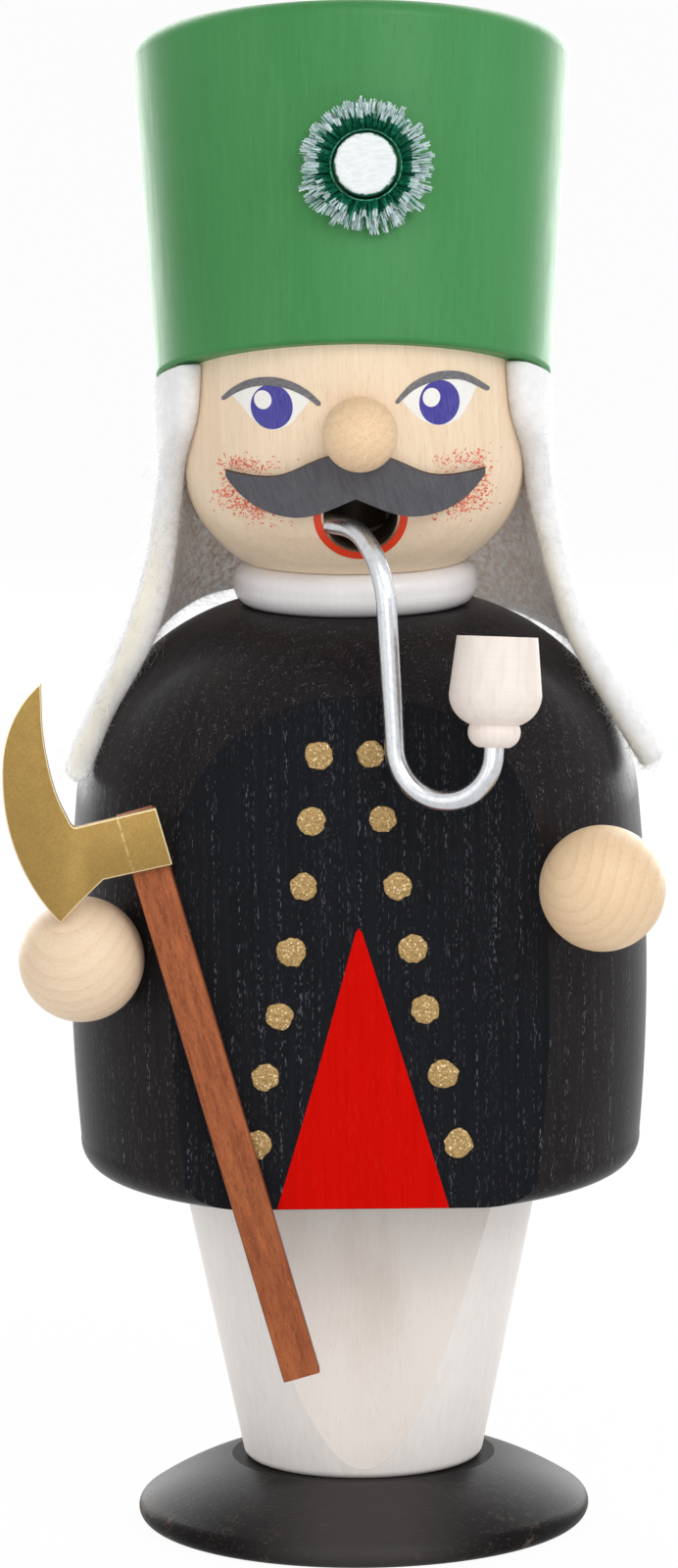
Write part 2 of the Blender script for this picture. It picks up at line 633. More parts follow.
paints = {
    "eyeWhite": dict(main=(240, 238, 234), streak=(228, 222, 212), share=0.4, roughness=0.5, coat=0.0),
    "irisBlue": dict(main=(50, 40, 138), streak=(96, 90, 178), share=0.5, roughness=0.42, coat=0.1),
    "browGrey": dict(main=(96, 94, 98), streak=(136, 133, 134), share=0.7, roughness=0.55, coat=0.0),
    "mouthRed": dict(main=(232, 62, 20), streak=(214, 48, 14), share=0.4, roughness=0.45, coat=0.05),
    "cheekRed": dict(main=(226, 84, 52), streak=(236, 120, 88), share=0.6, roughness=0.6, coat=0.0),
}
paints["irisBlue"]["stretch"] = (3.5, 3.5, 0.5)  # streaks that run up and down


def makeWedge():
    material, tree, local = startMaterial("wedgeRed", coatLook["origin"])
    figure = addFigure(tree, local, ring=2.6, warp=9.0, fibre=26.0)
    pores = addPores(tree, local, width=0.22, length=2.2, amount=0.3)
    base = addMix(tree, addRange(tree, figure["Fibres"], 0.4, 0.7), (203, 11, 4), (194, 9, 4))
    base = addMix(tree, times(tree, pores, 0.2), base, (218, 44, 30))
    height = minus(tree, figure["Fine"], pores)
    return endMaterial(material, base, 0.6, height, bump=0.15, depth=0.03, Specular_IOR_Level=0.02)


def makeGlitter():
    material, tree, local = startMaterial("goldGlitter")
    flakes = addNode(tree, "TexVoronoi", {"Vector": local, "Scale": 5.5}).outputs
    tone = addParts(tree, flakes["Color"])
    base = addMix(tree, tone[0], (146, 116, 66), (190, 158, 104))
    spark = addMath(tree, "GREATER_THAN", tone[1], 0.93)
    base = addMix(tree, spark, base, (236, 214, 168))
    rough = addRange(tree, tone[2], 0.0, 1.0, 0.35, 0.65)
    height = plus(tree, tone[0], addNoise(tree, local, 2.5, 3.0))
    return endMaterial(material, base, rough, height, bump=0.6, depth=0.15, Metallic=0.45)


finishes = {
    "black_base": makeBase(),
    "white_wash": makeLegs(),
    "plain_wood": makePlainWood(),
    "tray_brass": makeBrass(),
    "nail_steel": makeSteel(),
    "black_stain": makeCoat(),
    "white_lacquer": makeCollar(),
    "green_lacquer": makeHat(),
    "white_paint": makeDisc(),
    "slate_veneer": makeSlate(),
    "brown_wood": makeBrownWood(),
    "gold_veneer": makeGold("goldSheet", False),
    "bare_wire": makeWire(),
    "bowl_wash": makeBowl(),
}
goldEdge = makeGold("goldEdge", True)
plushStrip = makePlush("plushStrip", (250, 250, 251), (236, 234, 234), (244, 236, 216))
pileWhite = makePlush("pileWhite", (250, 250, 251), (238, 237, 238))
tinselGreen = makeTinsel("tinselGreen", (40, 152, 116), (10, 92, 68), 0.3)
tinselWhite = makeTinsel("tinselWhite", (228, 238, 241), (186, 214, 212), 0.05)
paintFinish = {name: makePaint(name, look) for name, look in paints.items()}
wedgeRed = makeWedge()
goldGlitter = makeGlitter()

for name, node in nodes.items():
    if name in paleWoods:
        node.data.materials[0] = makePaleWood(name + "Wood", paleWoods[name])
        continue
    slotName = node.data.materials[0].name
    if slotName in finishes:
        node.data.materials[0] = finishes[slotName]
print("materials made and put on the frame's nodes")


# Mesh helpers
facing = Matrix.Rotation(math.radians(90), 4, "X")  # stands a flat shape up, to face the front


def toMesh(name, bm):
    mesh = bpy.data.meshes.new(name)
    bm.to_mesh(mesh)
    bm.free()
    return mesh


def addObject(name, data):
    item = bpy.data.objects.new(name, data)
    bpy.context.scene.collection.objects.link(item)
    return item


def newVerts(made):
    return {part for part in made["geom"] if isinstance(part, bmesh.types.BMVert)}


def finishPiece(name, bm, materials, sharp=40):
    bmesh.ops.recalc_face_normals(bm, faces=bm.faces)
    return placePiece(name, toMesh(name, bm), materials, sharp)


# Every piece made here moves with the upper figure
def placePiece(name, mesh, materials, sharp):
    for material in materials:
        mesh.materials.append(material)
    mesh.shade_smooth()
    mesh.set_sharp_from_angle(angle=math.radians(sharp))
    piece = addObject(name, mesh)
    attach(piece, "upper")
    return piece


def treeOf(name):
    bm = bmesh.new()
    bm.from_mesh(nodes[name].data)
    tree = BVHTree.FromBMesh(bm)
    bm.free()
    return tree


headTree = treeOf("head")


# Paint on the head: a flat outline in front view is cut into small faces and laid on the wood
paintLayer = {"sunk": 0.08, "step": 0.8}


def onHead(x, z, lift):
    start = Vector((x * mm, -1, z * mm))
    hit, normal = headTree.ray_cast(start, Vector((0, 1, 0)))[:2]
    if hit is None:
        hit, normal = headTree.find_nearest(Vector((x * mm, -headRadius * mm, z * mm)))[:2]
    side = headTree.ray_cast(Vector((1, 0, z * mm)), Vector((-1, 0, 0)))[0]
    if side is not None and abs(x) * mm < side.x:
        # Over a hole in the wood, the paint keeps to the round of the head
        if Vector((hit.x, hit.y)).length < side.x - paintLayer["sunk"] * mm:
            hit = Vector((x * mm, -math.sqrt(side.x**2 - (x * mm) ** 2), z * mm))
            normal = Vector((hit.x, hit.y, 0)).normalized()
    outward = Vector((hit.x, hit.y, 0)).normalized()
    if normal.dot(outward) > 0.2:
        outward = normal
    return hit + outward * lift * mm


def cutIntoCells(bm, step):
    bmesh.ops.triangulate(bm, faces=bm.faces)
    for axis in (0, 2):
        low = min(vert.co[axis] for vert in bm.verts)
        high = max(vert.co[axis] for vert in bm.verts)
        direction = Vector((axis == 0, 0, axis == 2))
        for index in range(1, math.ceil((high - low) / step)):
            cut = direction * (low + index * step)
            geometry = bm.verts[:] + bm.edges[:] + bm.faces[:]
            bmesh.ops.bisect_plane(bm, geom=geometry, dist=1e-5, plane_co=cut, plane_no=direction)


def liftOntoHead(name, bm, lift, material):
    lifted = newVerts(bmesh.ops.extrude_face_region(bm, geom=bm.faces[:]))
    for vert in bm.verts:
        vert.co = onHead(vert.co.x, vert.co.z, lift if vert in lifted else -paintLayer["sunk"])
    return finishPiece(name, bm, [material], 60)


def layOnHead(name, bm, lift, material):
    cutIntoCells(bm, paintLayer["step"])
    return liftOntoHead(name, bm, lift, material)


def outlineMesh(points):
    bm = bmesh.new()
    bm.faces.new([bm.verts.new((x, 0, z)) for x, z in points])
    return bm


def ellipseMesh(centre, size, lean=0.0):
    bm = bmesh.new()
    place = Matrix.Translation((centre[0], 0, centre[1])) @ Matrix.Rotation(math.radians(lean), 4, "Y")
    place = place @ Matrix.Diagonal((size[0], 1, size[1], 1)) @ facing
    bmesh.ops.create_circle(bm, cap_ends=True, segments=48, radius=1, matrix=place)
    return bm


# A smooth curve's value at a share t of the way from b to c
def between(a, b, c, d, t):
    square = (2 * a - 5 * b + 4 * c - d) * t**2
    cube = (3 * b - a - 3 * c + d) * t**3
    return 0.5 * (2 * b + (c - a) * t + square + cube)


def smoothLine(points, steps=6):
    line = []
    padded = [points[0], *points, points[-1]]
    for four in zip(padded, padded[1:], padded[2:], padded[3:]):
        for index in range(steps):
            line.append(tuple(between(*values, index / steps) for values in zip(*four)))
    line.append(tuple(points[-1]))
    return line


def strokeOutline(points, widths):
    line = smoothLine([(*point, width) for point, width in zip(points, widths)])
    left = []
    right = []
    for index, (x, z, width) in enumerate(line):
        before = line[max(index - 1, 0)]
        after = line[min(index + 1, len(line) - 1)]
        run = Vector((after[0] - before[0], after[1] - before[1])).normalized()
        left.append((x - run.y * width / 2, z + run.x * width / 2))
        right.append((x + run.y * width / 2, z - run.x * width / 2))
    ends = []
    for (x, z, width), direction in ((line[-1], 1), (line[0], -1)):
        other = line[-2] if direction == 1 else line[1]
        run = Vector((x - other[0], z - other[1])).normalized() * width / 2
        ends.append((x + run.x * 0.8, z + run.y * 0.8))
    return [*left, ends[0], *reversed(right), ends[1]]


face = {
    "right": {
        "white": [
            (-15.6, 150.2), (-14.1, 148.7), (-13.1, 147.5), (-11.8, 146.5), (-10.1, 146.0),
            (-8.1, 146.8), (-6.9, 148.2), (-5.4, 150.2),
        ],
        "lid": [(-6.5, 150.8), (-8.2, 151.5), (-10.5, 151.9), (-12.9, 151.5), (-14.7, 150.7)],
        "iris": ((-10.39, 148.95), (2.66, 2.86), 8),
        "light": ((-11.5, 149.8), (1.1, 1.2)),
        "brow": [
            (-16.6, 149.5), (-15.0, 150.8), (-13.0, 151.8), (-10.5, 152.2), (-8.1, 151.8),
            (-6.0, 150.8), (-4.4, 149.5),
        ],
    },
    "left": {
        "white": [
            (5.7, 150.2), (6.7, 149.0), (7.9, 147.7), (9.2, 146.8), (10.7, 146.4), (12.3, 146.6),
            (13.6, 147.4), (14.7, 149.1), (15.5, 150.9),
        ],
        "lid": [(14.4, 151.7), (11.8, 152.3), (9.5, 152.1), (7.3, 151.2)],
        "iris": ((10.78, 149.3), (2.56, 2.86), -4),
        "light": ((9.76, 150.0), (1.1, 1.2)),
        "brow": [(5.4, 149.6), (7.3, 151.4), (9.5, 152.4), (11.8, 152.7), (14.2, 152.2), (17.0, 150.4)],
    },
    "browWidths": (0.5, 1.05, 0.6),
    "lifts": {"white": 0.03, "iris": 0.05, "light": 0.07, "brow": 0.09, "mouth": 0.04, "cheek": 0.035},
}


def browWidths(count):
    thin, thick, end = face["browWidths"]
    shares = [index / (count - 1) for index in range(count)]
    return [thin + (end - thin) * share + (thick - thin) * math.sin(math.pi * share) for share in shares]


def paintFace():
    lifts = face["lifts"]
    for side in ("right", "left"):
        eye = face[side]
        outline = smoothLine(eye["white"]) + smoothLine(eye["lid"])
        layOnHead(f"{side}_eye_white", outlineMesh(outline), lifts["white"], paintFinish["eyeWhite"])
        layOnHead(f"{side}_iris", ellipseMesh(*eye["iris"]), lifts["iris"], paintFinish["irisBlue"])
        layOnHead(f"{side}_eye_light", ellipseMesh(*eye["light"]), lifts["light"], paintFinish["eyeWhite"])
        outline = strokeOutline(eye["brow"], browWidths(len(eye["brow"])))
        layOnHead(f"{side}_brow", outlineMesh(outline), lifts["brow"], paintFinish["browGrey"])


mouth = {"centre": (0.7, 135.1), "inner": 5.0, "outer": 5.98}


def paintMouth():
    bm = bmesh.new()
    x, z = mouth["centre"]
    ring = {"radius1": mouth["outer"], "radius2": mouth["inner"], "depth": 0}
    place = Matrix.Translation((x, 0, z)) @ facing
    bmesh.ops.create_cone(bm, cap_ends=False, segments=64, matrix=place, **ring)
    layOnHead("mouth_ring", bm, face["lifts"]["mouth"], paintFinish["mouthRed"])


# Cheeks: short dry brush marks round the tips of the moustache
cheeks = {
    "seed": 7,
    "patches": [
        ((-12.8, 136.1), (2.0, 1.0), 380),
        ((-13.6, 141.4), (2.1, 0.6), 130),
        ((-15.9, 138.6), (0.7, 1.5), 110),
        ((13.2, 136.5), (2.1, 1.1), 380),
        ((13.6, 141.8), (2.1, 0.6), 110),
        ((16.2, 139.1), (0.7, 1.6), 110),
    ],
    "length": (0.12, 0.5),
    "width": (0.06, 0.16),
    "turn": 70,
    "ragged": 0.04,
    "reach": 0.86,  # no mark lies further round the head than this share of its radius
}


def paintCheeks():
    draw = random.Random(cheeks["seed"])
    ragged = cheeks["ragged"]
    bm = bmesh.new()
    for (x, z), (wide, high), count in cheeks["patches"]:
        for _ in range(count):
            markX = draw.gauss(x, wide)
            markZ = draw.gauss(z, high)
            if abs(markX) > headRadius * cheeks["reach"]:
                continue
            length = draw.uniform(*cheeks["length"])
            width = draw.uniform(*cheeks["width"])
            turn = draw.uniform(-cheeks["turn"], cheeks["turn"])
            place = Matrix.Translation((markX, 0, markZ)) @ Matrix.Rotation(math.radians(turn), 4, "Y")
            place = place @ Matrix.Diagonal((length / 2, 1, width / 2, 1)) @ facing
            made = bmesh.ops.create_circle(bm, cap_ends=True, segments=6, radius=1, matrix=place)
            for vert in made["verts"]:
                vert.co.x += draw.uniform(-ragged, ragged)
                vert.co.z += draw.uniform(-ragged, ragged)
    liftOntoHead("cheek_marks", bm, face["lifts"]["cheek"], paintFinish["cheekRed"])


paintFace()
paintMouth()
paintCheeks()
print("face painted")

# Paint on the coat's flat: the red wedge and the gold dabs
front = {
    "wedge": [
        (-10.75, 47.25), (-5.3, 65.5), (-0.45, 82.9), (-0.05, 83.5), (0.4, 82.9), (5.9, 65.0),
        (11.15, 47.25),
    ],
    "wedgeLift": 0.05,
    "wedgeSunk": 0.02,
    "dots": [
        (-4.9, 105.7), (-5.9, 97.3), (-7.0, 88.9), (-8.6, 80.5), (-10.2, 72.3), (-12.1, 64.4),
        (-13.2, 55.7), (1.7, 105.8), (3.1, 97.5), (4.9, 88.9), (6.8, 80.8), (8.3, 73.0),
        (10.5, 64.6), (12.4, 55.6),
    ],
    "dotRadius": 1.82,
    "dotHeight": 0.28,
    "dotSunk": 0.12,
    "seed": 11,
}


def paintWedge():
    bm = bmesh.new()
    sunk = front["wedgeSunk"]
    outline = [bm.verts.new((x * mm, coatFlat * mm + sunk * mm, z * mm)) for x, z in front["wedge"]]
    made = bmesh.ops.extrude_face_region(bm, geom=[bm.faces.new(outline)])
    bmesh.ops.translate(bm, verts=list(newVerts(made)), vec=(0, -(front["wedgeLift"] + sunk) * mm, 0))
    finishPiece("red_wedge", bm, [wedgeRed])


def paintDots():
    draw = random.Random(front["seed"])
    bm = bmesh.new()
    for x, z in front["dots"]:
        radius = front["dotRadius"] * draw.uniform(0.95, 1.05)
        place = Matrix.Translation((x, coatFlat, z)) @ facing
        made = bmesh.ops.create_uvsphere(bm, u_segments=40, v_segments=20, radius=radius, matrix=place)
        seed = Vector((draw.uniform(0, 50), draw.uniform(0, 50), 0))
        for vert in made["verts"]:
            offset = vert.co - Vector((x, coatFlat, z))
            flat = Vector((offset.x, 0, offset.z))
            ragged = 1 + 0.13 * noise.noise(seed + flat.normalized() * 2.6) if flat.length > 0.01 else 1
            lump = 1 + 0.45 * noise.noise(seed + flat * 2.4)
            height = -offset.y / radius
            height = front["dotHeight"] * height**0.5 * lump if height > 0 else front["dotSunk"] * height
            vert.co = Vector((x, coatFlat - height, z)) + flat * ragged
    bmesh.ops.scale(bm, vec=(mm, mm, mm), verts=bm.verts)
    finishPiece("gold_dots", bm, [goldGlitter], 80)


paintWedge()
paintDots()
print("coat front painted")


# Axe: the frame's own shapes with their sharp edges eased
def easedCopy(name, width, materials, edgeMaterial=-1):
    bm = bmesh.new()
    bm.from_mesh(nodes[name].data)
    bmesh.ops.remove_doubles(bm, verts=bm.verts, dist=0.002 * mm)
    bmesh.ops.dissolve_limit(bm, angle_limit=math.radians(0.5), verts=bm.verts, edges=bm.edges)
    sharp = [edge for edge in bm.edges if edge.is_manifold and edge.calc_face_angle() > math.radians(40)]
    bmesh.ops.bevel(
        bm,
        geom=sharp,
        offset=width * mm,
        offset_type="OFFSET",
        affect="EDGES",
        segments=2,
        profile=0.5,
        clamp_overlap=True,
        material=edgeMaterial,
    )
    piece = finishPiece(name + "_eased", bm, materials, 30)
    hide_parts(name)


easedCopy("axe_blade", axeShape["bladeEdge"], [finishes["gold_veneer"], goldEdge], 1)
easedCopy("axe_handle", axeShape["handleEdge"], [finishes["brown_wood"]])
print("axe eased")

# Tinsel: flat foil strands gathered in tufts, with brushed white tips
tinsel = {
    "seed": 3,
    "tufts": 38,
    "layers": [(6, 1.0, 15), (20, 0.97, 12), (38, 0.84, 9)],
    "strandWidth": 0.24,
    "strandThickness": 0.04,
    "segments": 5,
    "whiteFrom": 0.58,
    "greenShare": 0.12,
    "taper": 0.7,
}


def strandTemplate():
    bm = bmesh.new()
    bmesh.ops.create_cube(bm, size=1)
    bmesh.ops.translate(bm, verts=bm.verts, vec=(0, 0, 0.5))
    lengthwise = [edge for edge in bm.edges if abs(edge.verts[0].co.z - edge.verts[1].co.z) > 0.5]
    bmesh.ops.subdivide_edges(bm, edges=lengthwise, cuts=tinsel["segments"] - 1)
    for item in bm.faces:
        item.material_index = 1 if item.calc_center_median().z > tinsel["whiteFrom"] else 0
    return toMesh("strandTemplate", bm)


def addStrand(bm, template, root, tip, sag, width, twist):
    before = len(bm.verts)
    bm.from_mesh(template)
    bm.verts.ensure_lookup_table()
    axis = (tip - root).normalized()
    turn = axis.to_track_quat("Z", "X").to_matrix() @ Matrix.Rotation(twist, 3, "Z")
    length = (tip - root).length
    for index in range(before, len(bm.verts)):
        x, y, z = bm.verts[index].co
        narrow = 1 - (1 - tinsel["taper"]) * z
        local = turn @ Vector((x * width * narrow, y * tinsel["strandThickness"], z * length))
        bm.verts[index].co = root + local + sag * (z * (1 - z) * 4)


# The sleeve that holds the strands, round the disc
def tinselCore():
    bm = bmesh.new()
    radius = rosette["coreRadius"] + 0.1
    ring = {"radius1": radius, "radius2": radius, "depth": 2.4}
    bmesh.ops.create_cone(bm, cap_ends=False, segments=64, matrix=Matrix.Translation((0, 0, 1.3)), **ring)
    bmesh.ops.solidify(bm, geom=bm.faces[:], thickness=0.2)
    bmesh.ops.recalc_face_normals(bm, faces=bm.faces)
    return toMesh("tinselCore", bm)


def makeTinselRing():
    draw = random.Random(tinsel["seed"])
    mixed = strandTemplate()
    allGreen = mixed.copy()
    for item in allGreen.polygons:
        item.material_index = 0
    bm = bmesh.new()
    for layerIndex, (fan, reachShare, count) in enumerate(tinsel["layers"]):
        for tuft in range(tinsel["tufts"]):
            angle = 2 * math.pi * (tuft + 0.5 * layerIndex + draw.uniform(-0.25, 0.25)) / tinsel["tufts"]
            reach = (rosette["reach"] - rosette["coreRadius"]) * reachShare * draw.uniform(0.8, 1.02)
            tuftFan = math.radians(fan + draw.uniform(-6, 6))
            for _ in range(count):
                rootAngle = angle + draw.gauss(0, 0.05)
                tipAngle = angle + draw.gauss(0, 0.034)
                rootHeight = 0.7 + layerIndex * 0.65 + draw.uniform(0, 0.5)
                root = Vector((math.cos(rootAngle), math.sin(rootAngle), 0)) * rosette["coreRadius"]
                root.z = rootHeight
                length = reach * draw.uniform(0.84, 1.0)
                tip = Vector((math.cos(tipAngle), math.sin(tipAngle), 0))
                tip *= rosette["coreRadius"] + length * math.cos(tuftFan)
                tip.z = rootHeight + length * math.sin(tuftFan)
                sag = Vector((0, 0, 0.25 + draw.uniform(-0.1, 0.25)))
                template = allGreen if draw.random() < tinsel["greenShare"] else mixed
                width = tinsel["strandWidth"] * draw.uniform(0.7, 1.25)
                addStrand(bm, template, root, tip, sag, width, draw.uniform(-1.2, 1.2))
    bm.from_mesh(tinselCore())
    bmesh.ops.transform(bm, matrix=Matrix.Diagonal((mm, mm, mm, 1)) @ rosetteFrame, verts=bm.verts)
    piece = finishPiece("tinsel_strands", bm, [tinselGreen, tinselWhite], 30)
    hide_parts("rosette_tinsel")


makeTinselRing()
print("tinsel made")

# Hair: one strip of plush from the front edge on one side, round the back, to the other front edge
hairTop = [(132.0, -4.2), (139.7, -5.8), (146.6, -10.5), (154.0, -11.9)]
hair = {
    "left": {
        "front": [(101.6, -9.2), (106.0, -9.0), (114.0, -8.4), (122.0, -7.0), *hairTop],
        "middle": [
            (101.6, 38.9), (105.4, 36.5), (108.7, 34.6), (112.3, 32.5), (118.2, 29.4),
            (122.9, 27.7), (129.2, 25.6), (137.3, 24.1), (155.0, 23.9),
        ],
        "thickness": [(101.6, 3.2), (106.0, 3.1), (112.0, 3.0), (129.0, 3.0), (137.0, 3.5), (155.0, 3.4)],
        "flare": [
            (101.6, 0.5), (107.5, 0.9), (112.0, 0.0), (118.0, -1.1), (123.0, -1.3), (128.0, -0.9),
            (142.0, 0.0),
        ],
        "low": [
            (0.0, 119.6), (0.35, 118.4), (0.5, 117.4), (0.6, 116.2), (0.7, 114.8), (0.85, 107.0),
            (0.93, 102.2), (1.0, 101.6),
        ],
        "cream": (-0.5, 0.6),
    },
    "right": {
        "front": [(100.8, -11.0), (106.0, -11.0), (110.0, -9.6), (116.0, -8.6), (122.0, -7.0), *hairTop],
        "middle": [
            (100.8, 37.7), (106.0, 35.5), (110.0, 33.1), (113.0, 31.5), (116.0, 30.0),
            (119.0, 28.5), (124.0, 26.6), (129.0, 25.2), (139.0, 24.0), (155.0, 23.9),
        ],
        "thickness": [
            (100.8, 3.7), (106.0, 3.4), (110.0, 3.0), (116.0, 3.9), (122.0, 4.2), (130.0, 3.6),
            (155.0, 3.4),
        ],
        "flare": [(100.8, 0.0), (109.0, 0.0), (116.0, -1.1), (130.0, -0.8), (145.0, 0.0)],
        "low": [
            (0.0, 119.6), (0.3, 120.8), (0.45, 120.8), (0.6, 119.3), (0.7, 117.8), (0.85, 114.6),
            (0.93, 110.8), (1.0, 100.8),
        ],
        "cream": (0.3, 0.5),
    },
    "topGap": 0.35,
    "flareBehind": 9.0,
    "columns": 130,
    "rows": 56,
    "ripple": 0.3,
    "rippleTop": 128,
    "rippleFade": 27,
    "rimCuts": 3,
    "frontCap": 0.8,
    "lowCap": 0.3,
    "creamTop": 135.0,
    "creamFade": 9.0,
    "lowZone": 145.0,
    "atEdge": 1e-5,
}


def follow(points, position):
    if position <= points[0][0]:
        return points[0][1]
    if position >= points[-1][0]:
        return points[-1][1]
    index = max(i for i in range(len(points) - 1) if points[i][0] <= position)
    (x0, y0), (x1, y1) = points[index], points[index + 1]
    before = points[max(index - 1, 0)]
    after = points[min(index + 2, len(points) - 1)]
    span = x1 - x0
    slope0 = (y1 - before[1]) / (x1 - before[0]) * span
    slope1 = (after[1] - y0) / (after[0] - x0) * span
    t = (position - x0) / span
    return (
        (2 * t**3 - 3 * t**2 + 1) * y0
        + (t**3 - 2 * t**2 + t) * slope0
        + (-2 * t**3 + 3 * t**2) * y1
        + (t**3 - t**2) * slope1
    )


def hairSide(across):
    return hair["left"] if across >= 0 else hair["right"]


def hairPoint(across, up):
    side = 1 if across >= 0 else -1
    away = abs(across)
    shape = hairSide(across)
    tilt = math.tan(math.radians(hatShape["tilt"]))
    topRadius = shape["middle"][-1][1]
    topAngle = away * math.acos(shape["front"][-1][1] / topRadius)
    topZ = hatSeat.z - hair["topGap"] - topRadius * math.cos(topAngle) * tilt
    bottomZ = follow(shape["low"], away)
    z = bottomZ + (topZ - bottomZ) * up
    radius = follow(shape["middle"], z)
    edgeAngle = math.acos(follow(shape["front"], z) / radius)
    angle = away * edgeAngle
    behind = max(0, min((edgeAngle - angle) * radius / hair["flareBehind"], 1))
    radius += follow(shape["flare"], z) * behind * (2 - behind) * max(0, math.sin(angle)) ** 2
    wave = noise.noise(Vector((across * 3.1, z * 0.07, 4.2))) * hair["ripple"]
    wave += noise.noise(Vector((across * 11, z * 0.2, 9.7))) * hair["ripple"] * 0.5
    low = max(0, min(1, (hair["rippleTop"] - z) / hair["rippleFade"]))
    radius += wave * (0.4 + 0.6 * low) * behind
    return Vector((side * radius * math.sin(angle), radius * math.cos(angle), z))


# A point of the slab: across and up along the strip, and through it from -1 inside to 1 outside
def slabPoint(across, up, through):
    step = 0.004
    inner = max(-1 + step, min(1 - step, across))
    low = max(up, step)
    along = (hairPoint(inner + step, low) - hairPoint(inner - step, low)).normalized()
    rise = (hairPoint(inner, low + step) - hairPoint(inner, low - step)).normalized()
    outward = rise.cross(along).normalized()
    point = hairPoint(across, up)
    half = follow(hairSide(across)["thickness"], point.z) / 2
    turn = through * math.pi / 2
    onFront = abs(across) > 1 - hair["atEdge"]
    onLow = up < hair["atEdge"]
    if onFront or onLow:
        forward = hair["frontCap"] * onFront * (1 if across > 0 else -1)
        cap = along * forward - rise * (hair["lowCap"] * onLow)
        return point + outward * half * math.sin(turn) + cap * half * math.cos(turn)
    return point + outward * half * through


def makeHair():
    bm = bmesh.new()
    bmesh.ops.create_grid(bm, x_segments=hair["columns"], y_segments=hair["rows"], size=1)
    outside = newVerts(bmesh.ops.extrude_face_region(bm, geom=bm.faces[:]))
    for vert in bm.verts:
        vert.co.z = 1 if vert in outside else -1
    rim = [edge for edge in bm.edges if abs(edge.verts[0].co.z - edge.verts[1].co.z) > 1]
    bmesh.ops.subdivide_edges(bm, edges=rim, cuts=hair["rimCuts"], use_grid_fill=True)
    core = bm.verts.layers.float.new("cream")
    inside = bm.verts.layers.float.new("inside")
    for vert in bm.verts:
        across, high, through = vert.co
        point = slabPoint(across, (high + 1) / 2, through)
        onRim = abs(across) > 1 - hair["atEdge"] or high < -1 + hair["atEdge"]
        middle, half = hairSide(across)["cream"]
        band = max(0, 1 - ((through - middle) / half) ** 2) if onRim else 0
        vert[core] = band * max(0, min(1, (hair["creamTop"] - point.z) / hair["creamFade"]))
        vert[inside] = max(0, -through)
        vert.co = point * mm
    strip = finishPiece("hair_strip", bm, [plushStrip], 80)
    smooth = strip.modifiers.new("soft", "SUBSURF")
    smooth.levels = 1
    smooth.render_levels = 1
    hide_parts("hair")
    return strip


hairStrip = makeHair()

# Pile: short fibres all over the plush, and longer stray ones along its edges
pile = {
    "seed": 5,
    "pieces": [
        {"name": "hair_pile", "where": "all", "fibres": 15500, "lengths": (0.3, 0.8), "curl": 0.9},
        {"name": "hair_fringe", "where": "rim", "fibres": 14500, "lengths": (0.3, 0.95), "curl": 1.1},
        {"name": "hair_fringe", "where": "rim", "fibres": 800, "lengths": (0.9, 2.0), "curl": 1.5},
    ],
    "radius": 0.026,
    "rimReach": 1.2,
}


# The faces along the front edges and the lower edge
def rimFaces(polygons):
    rim = []
    for item in polygons:
        x, y, z = item.center / mm
        if z >= hair["lowZone"]:
            continue
        if follow(hairSide(x)["front"], z) + pile["rimReach"] > y or abs(item.normal.z) > 0.75:
            rim.append(item)
    return rim


def makeSection():
    profile = bpy.data.curves.new("fibreSection", "CURVE")
    profile.dimensions = "2D"
    corners = profile.splines.new("POLY")
    corners.points.add(2)
    corners.use_cyclic_u = True
    for index in range(3):
        angle = 2 * math.pi * index / 3
        x = math.cos(angle) * pile["radius"] * mm
        y = math.sin(angle) * pile["radius"] * mm
        corners.points[index].co = (x, y, 0, 1)
    return addObject("fibreSection", profile)


def addFibre(curve, draw, mesh, item, part):
    corners = [mesh.vertices[index].co for index in item.vertices]
    weights = [draw.random() for _ in corners]
    total = sum(weights)
    root = sum((corner * (weight / total) for corner, weight in zip(corners, weights)), Vector())
    lean = Vector((draw.gauss(0, 0.6), draw.gauss(0, 0.6), draw.gauss(-0.2, 0.55)))
    direction = (item.normal + lean).normalized()
    curl = part["curl"]
    bend = Vector((draw.gauss(0, curl), draw.gauss(0, curl), draw.gauss(-0.3 * curl, curl)))
    twist = bend.cross(direction) * draw.uniform(-0.8, 0.8)
    length = draw.uniform(*part["lengths"]) * mm
    spline = curve.splines.new("POLY")
    spline.points.add(2)
    for index, (share, thick) in enumerate(((0, 1.0), (0.5, 0.8), (1, 0.35))):
        point = root + (direction * share + bend * share**2 + twist * math.sin(share * 4)) * length
        spline.points[index].co = (*point, 1)
        spline.points[index].radius = thick


def makeFibres(name, parts):
    draw = random.Random(pile["seed"] + len(name))
    view = bpy.context.evaluated_depsgraph_get()
    mesh = bpy.data.meshes.new_from_object(hairStrip.evaluated_get(view))
    every = list(mesh.polygons)
    places = {"all": every, "rim": rimFaces(every)}
    section = makeSection()
    curve = bpy.data.curves.new("fibres", "CURVE")
    curve.dimensions = "3D"
    curve.bevel_mode = "OBJECT"
    curve.bevel_object = section
    for part in parts:
        for _ in range(part["fibres"]):
            addFibre(curve, draw, mesh, draw.choice(places[part["where"]]), part)
    holder = addObject("fibres", curve)
    bpy.context.view_layer.update()
    view = bpy.context.evaluated_depsgraph_get()
    fibres = bpy.data.meshes.new_from_object(holder.evaluated_get(view))
    bpy.data.objects.remove(holder)
    bpy.data.objects.remove(section)
    fibres.name = name
    fibres.materials.clear()
    piece = placePiece(name, fibres, [pileWhite], 80)
    print(name, "made with", len(fibres.polygons), "faces")
    return piece


def makePile():
    names = dict.fromkeys(part["name"] for part in pile["pieces"])
    return [makeFibres(name, [part for part in pile["pieces"] if part["name"] == name]) for name in names]


hairPile = makePile()
print("hair made")


